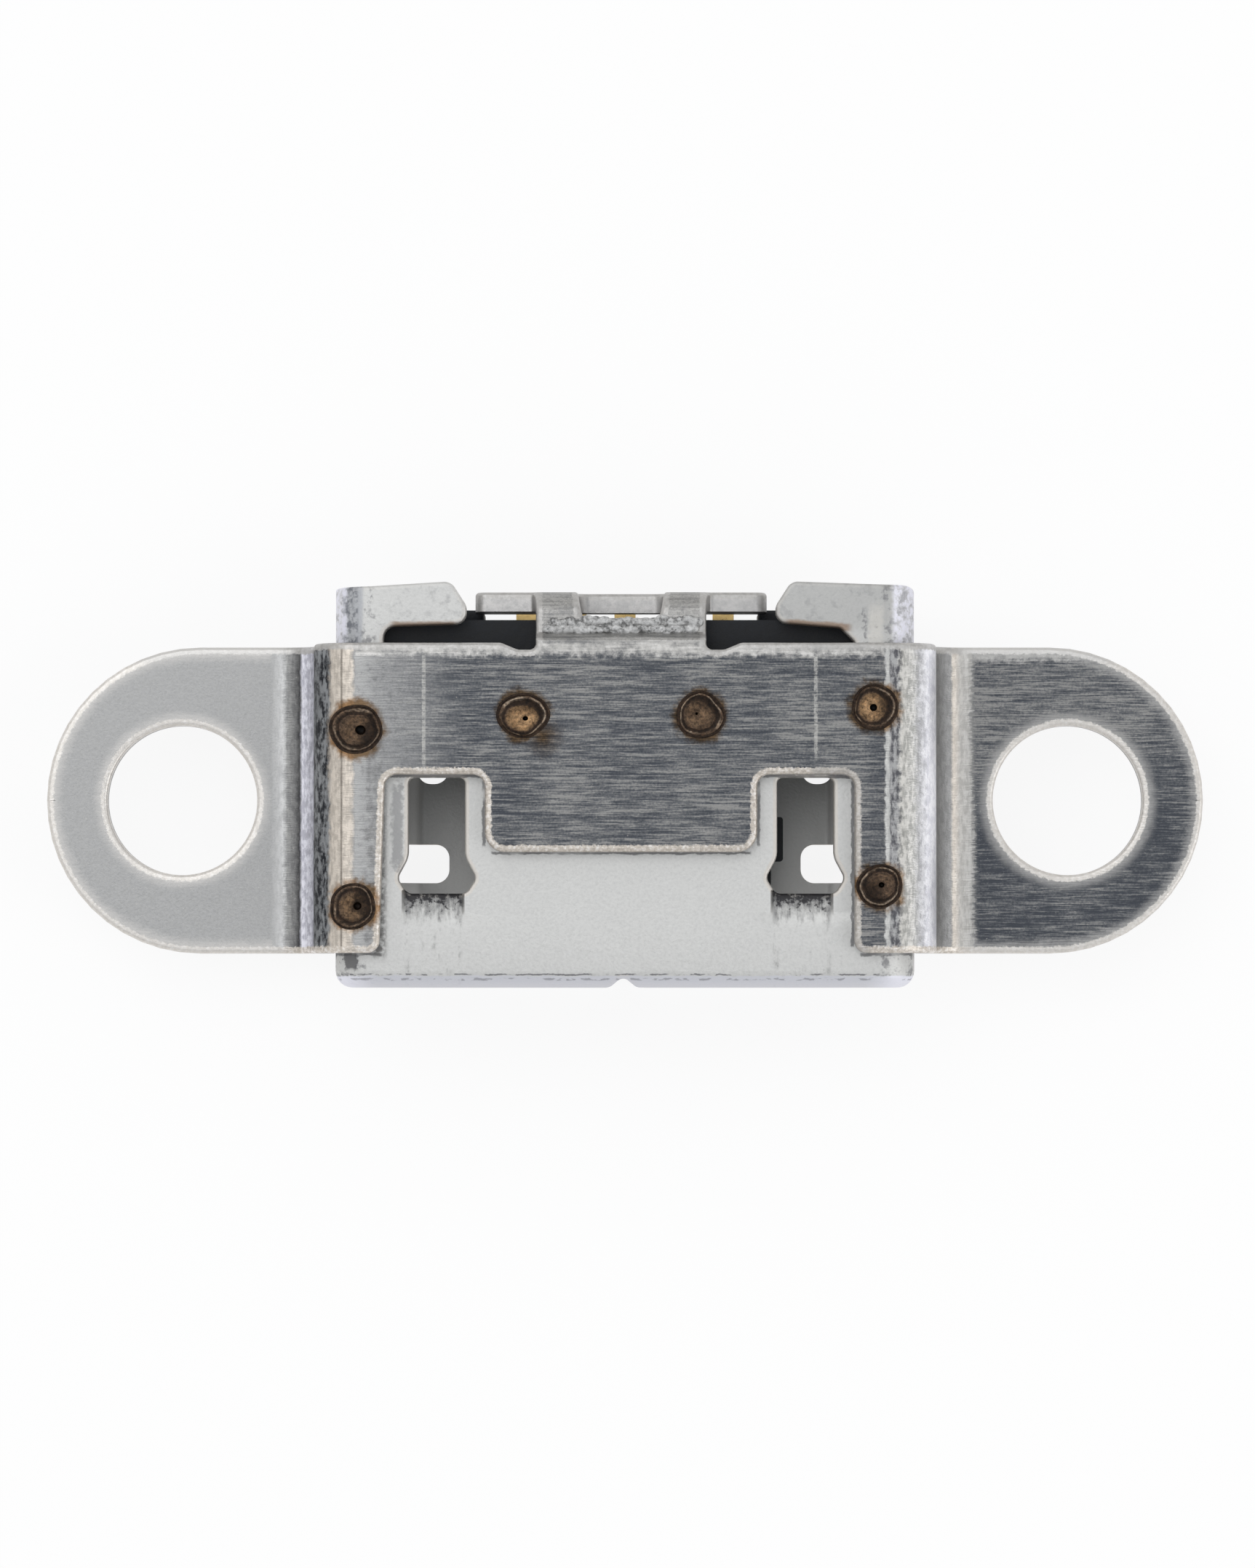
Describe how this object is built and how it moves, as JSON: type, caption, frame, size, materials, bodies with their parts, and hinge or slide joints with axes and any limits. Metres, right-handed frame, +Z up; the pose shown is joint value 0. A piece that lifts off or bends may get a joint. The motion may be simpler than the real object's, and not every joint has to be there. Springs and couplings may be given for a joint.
{
  "type": "micro usb socket",
  "caption": "Phone charging socket: folded steel shell with latch windows, moulded tongue and contacts, and a welded bracket with two screw ears.",
  "frame": {"origin": "on the surface that the shell's underside rests on, under the middle of the overall box", "axes": "+X from ear to ear, +Y from the mouth to the contact tails, +Z up from the narrow wall to the wide wall with the latch windows"},
  "size_m": [0.015, 0.0052, 0.0027],
  "materials": {
    "shell_steel": "matte stamped stainless steel",
    "bracket_steel": "brushed along the strip",
    "weld_tint": "heat-tinted brown weld metal",
    "black_moulding": "matte black moulding",
    "gold_contact": "gold-plated copper alloy"
  },
  "bodies": {
    "root": {"shell": "shell_steel", "bracket": "bracket_steel", "weld_spots": "weld_tint", "housing": "black_moulding", "contact_vbus": "gold_contact", "contact_data_minus": "gold_contact", "contact_data_plus": "gold_contact", "contact_id": "gold_contact", "contact_ground": "gold_contact"}
  },
  "joints": []
}
